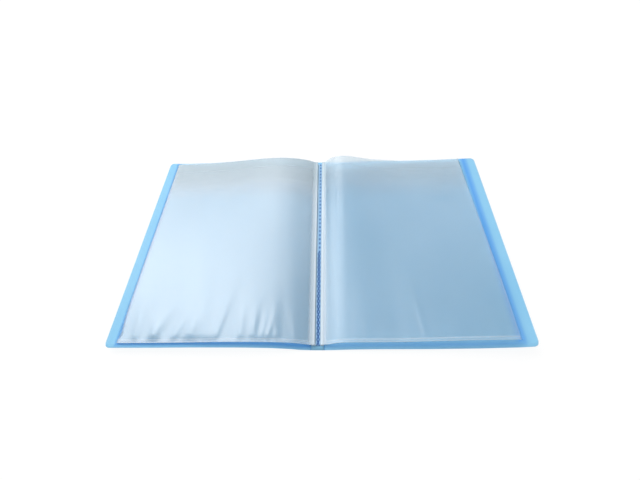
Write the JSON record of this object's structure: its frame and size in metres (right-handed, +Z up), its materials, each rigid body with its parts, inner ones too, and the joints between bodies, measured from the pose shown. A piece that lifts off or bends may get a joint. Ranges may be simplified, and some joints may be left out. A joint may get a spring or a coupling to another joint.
{
  "type": "display book",
  "caption": "Pocket display book lying open: creased translucent cover, knurled spine weld and clear film pockets that turn with the cover or one by one.",
  "frame": {"origin": "middle of the spine's underside, on the surface that the open book lies on", "axes": "+X to the back cover across the open book, +Y from the pockets' sealed ends to their open mouths, +Z up from the table"},
  "size_m": [0.4918, 0.31, 0.0141],
  "materials": {
    "cover_sheet": "frosted translucent sheet with a fine grain",
    "pocket_film": "clear glossy film",
    "pocket_margin": "pressed stack of clear film margins",
    "weld": "knurled heat weld"
  },
  "bodies": {
    "spine": {"spine_panel": "cover_sheet", "weld_strip": "weld", "front_root_stack": "pocket_margin", "back_root_stack": "pocket_margin"},
    "front_cover": {"front_cover_panel": "cover_sheet"},
    "back_cover": {"back_cover_panel": "cover_sheet"},
    "front_pocket_01": {"front_pocket_01_lower_film": "pocket_film", "front_pocket_01_upper_film": "pocket_film"},
    "front_pocket_02": {"front_pocket_02_lower_film": "pocket_film", "front_pocket_02_upper_film": "pocket_film"},
    "front_pocket_03": {"front_pocket_03_lower_film": "pocket_film", "front_pocket_03_upper_film": "pocket_film"},
    "front_pocket_04": {"front_pocket_04_lower_film": "pocket_film", "front_pocket_04_upper_film": "pocket_film"},
    "front_pocket_05": {"front_pocket_05_lower_film": "pocket_film", "front_pocket_05_upper_film": "pocket_film"},
    "front_pocket_06": {"front_pocket_06_lower_film": "pocket_film", "front_pocket_06_upper_film": "pocket_film"},
    "front_pocket_07": {"front_pocket_07_lower_film": "pocket_film", "front_pocket_07_upper_film": "pocket_film"},
    "front_pocket_08": {"front_pocket_08_lower_film": "pocket_film", "front_pocket_08_upper_film": "pocket_film"},
    "front_pocket_09": {"front_pocket_09_lower_film": "pocket_film", "front_pocket_09_upper_film": "pocket_film"},
    "front_pocket_10": {"front_pocket_10_lower_film": "pocket_film", "front_pocket_10_upper_film": "pocket_film"},
    "back_pocket_01": {"back_pocket_01_lower_film": "pocket_film", "back_pocket_01_upper_film": "pocket_film"},
    "back_pocket_02": {"back_pocket_02_lower_film": "pocket_film", "back_pocket_02_upper_film": "pocket_film"},
    "back_pocket_03": {"back_pocket_03_lower_film": "pocket_film", "back_pocket_03_upper_film": "pocket_film"},
    "back_pocket_04": {"back_pocket_04_lower_film": "pocket_film", "back_pocket_04_upper_film": "pocket_film"},
    "back_pocket_05": {"back_pocket_05_lower_film": "pocket_film", "back_pocket_05_upper_film": "pocket_film"},
    "back_pocket_06": {"back_pocket_06_lower_film": "pocket_film", "back_pocket_06_upper_film": "pocket_film"},
    "back_pocket_07": {"back_pocket_07_lower_film": "pocket_film", "back_pocket_07_upper_film": "pocket_film"},
    "back_pocket_08": {"back_pocket_08_lower_film": "pocket_film", "back_pocket_08_upper_film": "pocket_film"},
    "back_pocket_09": {"back_pocket_09_lower_film": "pocket_film", "back_pocket_09_upper_film": "pocket_film"},
    "back_pocket_10": {"back_pocket_10_lower_film": "pocket_film", "back_pocket_10_upper_film": "pocket_film"}
  },
  "joints": [
    {"name": "front_cover_fold", "type": "hinge", "parent": "spine", "child": "front_cover", "pos_m": [-0.008, 0, 0.0008], "axis": [0, 1, 0], "range_deg": [0, 88]},
    {"name": "back_cover_fold", "type": "hinge", "parent": "spine", "child": "back_cover", "pos_m": [0.008, 0, 0.0008], "axis": [0, -1, 0], "range_deg": [0, 88]},
    {"name": "front_pocket_01_carry", "type": "hinge", "parent": "spine", "child": "front_pocket_01", "pos_m": [-0.0077, 0, 0.0012], "axis": [0, 1, 0], "range_deg": [0, 88]},
    {"name": "front_pocket_02_carry", "type": "hinge", "parent": "spine", "child": "front_pocket_02", "pos_m": [-0.0072, 0, 0.0017], "axis": [0, 1, 0], "range_deg": [0, 88]},
    {"name": "front_pocket_03_carry", "type": "hinge", "parent": "spine", "child": "front_pocket_03", "pos_m": [-0.0067, 0, 0.0022], "axis": [0, 1, 0], "range_deg": [0, 88]},
    {"name": "front_pocket_04_carry", "type": "hinge", "parent": "spine", "child": "front_pocket_04", "pos_m": [-0.0062, 0, 0.0027], "axis": [0, 1, 0], "range_deg": [0, 88]},
    {"name": "front_pocket_05_carry", "type": "hinge", "parent": "spine", "child": "front_pocket_05", "pos_m": [-0.0057, 0, 0.0032], "axis": [0, 1, 0], "range_deg": [0, 88]},
    {"name": "front_pocket_06_carry", "type": "hinge", "parent": "spine", "child": "front_pocket_06", "pos_m": [-0.0052, 0, 0.0037], "axis": [0, 1, 0], "range_deg": [0, 88]},
    {"name": "front_pocket_07_carry", "type": "hinge", "parent": "spine", "child": "front_pocket_07", "pos_m": [-0.0047, 0, 0.0042], "axis": [0, 1, 0], "range_deg": [0, 88]},
    {"name": "back_pocket_01_carry", "type": "hinge", "parent": "spine", "child": "back_pocket_01", "pos_m": [0.0077, 0, 0.0012], "axis": [0, -1, 0], "range_deg": [0, 88]},
    {"name": "back_pocket_02_carry", "type": "hinge", "parent": "spine", "child": "back_pocket_02", "pos_m": [0.0072, 0, 0.0017], "axis": [0, -1, 0], "range_deg": [0, 88]},
    {"name": "back_pocket_03_carry", "type": "hinge", "parent": "spine", "child": "back_pocket_03", "pos_m": [0.0067, 0, 0.0022], "axis": [0, -1, 0], "range_deg": [0, 88]},
    {"name": "back_pocket_04_carry", "type": "hinge", "parent": "spine", "child": "back_pocket_04", "pos_m": [0.0062, 0, 0.0027], "axis": [0, -1, 0], "range_deg": [0, 88]},
    {"name": "back_pocket_05_carry", "type": "hinge", "parent": "spine", "child": "back_pocket_05", "pos_m": [0.0057, 0, 0.0032], "axis": [0, -1, 0], "range_deg": [0, 88]},
    {"name": "back_pocket_06_carry", "type": "hinge", "parent": "spine", "child": "back_pocket_06", "pos_m": [0.0052, 0, 0.0037], "axis": [0, -1, 0], "range_deg": [0, 88]},
    {"name": "back_pocket_07_carry", "type": "hinge", "parent": "spine", "child": "back_pocket_07", "pos_m": [0.0047, 0, 0.0042], "axis": [0, -1, 0], "range_deg": [0, 88]},
    {"name": "back_pocket_08_carry", "type": "hinge", "parent": "spine", "child": "back_pocket_08", "pos_m": [0.0042, 0, 0.0047], "axis": [0, -1, 0], "range_deg": [0, 88]},
    {"name": "back_pocket_09_carry", "type": "hinge", "parent": "spine", "child": "back_pocket_09", "pos_m": [0.0037, 0, 0.0052], "axis": [0, -1, 0], "range_deg": [0, 88]},
    {"name": "back_pocket_10_carry", "type": "hinge", "parent": "spine", "child": "back_pocket_10", "pos_m": [0.0032, 0, 0.0057], "axis": [0, -1, 0], "range_deg": [0, 88]},
    {"name": "front_pocket_08_turn", "type": "hinge", "parent": "front_pocket_07", "child": "front_pocket_08", "pos_m": [-0.0042, 0, 0.0047], "axis": [0, -1, 0], "range_deg": [-30, 0]},
    {"name": "front_pocket_09_turn", "type": "hinge", "parent": "front_pocket_08", "child": "front_pocket_09", "pos_m": [-0.0037, 0, 0.0052], "axis": [0, -1, 0], "range_deg": [-40, 0]},
    {"name": "front_pocket_10_turn", "type": "hinge", "parent": "front_pocket_09", "child": "front_pocket_10", "pos_m": [-0.0032, 0, 0.0057], "axis": [0, -1, 0], "range_deg": [-60, 0]}
  ],
  "couplings": [
    {"joint": "front_pocket_01_carry", "follows": "front_cover_fold", "ratio": 1},
    {"joint": "front_pocket_02_carry", "follows": "front_cover_fold", "ratio": 1},
    {"joint": "front_pocket_03_carry", "follows": "front_cover_fold", "ratio": 1},
    {"joint": "front_pocket_04_carry", "follows": "front_cover_fold", "ratio": 1},
    {"joint": "front_pocket_05_carry", "follows": "front_cover_fold", "ratio": 1},
    {"joint": "front_pocket_06_carry", "follows": "front_cover_fold", "ratio": 1},
    {"joint": "front_pocket_07_carry", "follows": "front_cover_fold", "ratio": 1},
    {"joint": "back_pocket_01_carry", "follows": "back_cover_fold", "ratio": 1},
    {"joint": "back_pocket_02_carry", "follows": "back_cover_fold", "ratio": 1},
    {"joint": "back_pocket_03_carry", "follows": "back_cover_fold", "ratio": 1},
    {"joint": "back_pocket_04_carry", "follows": "back_cover_fold", "ratio": 1},
    {"joint": "back_pocket_05_carry", "follows": "back_cover_fold", "ratio": 1},
    {"joint": "back_pocket_06_carry", "follows": "back_cover_fold", "ratio": 1},
    {"joint": "back_pocket_07_carry", "follows": "back_cover_fold", "ratio": 1},
    {"joint": "back_pocket_08_carry", "follows": "back_cover_fold", "ratio": 1},
    {"joint": "back_pocket_09_carry", "follows": "back_cover_fold", "ratio": 1},
    {"joint": "back_pocket_10_carry", "follows": "back_cover_fold", "ratio": 1}
  ]
}
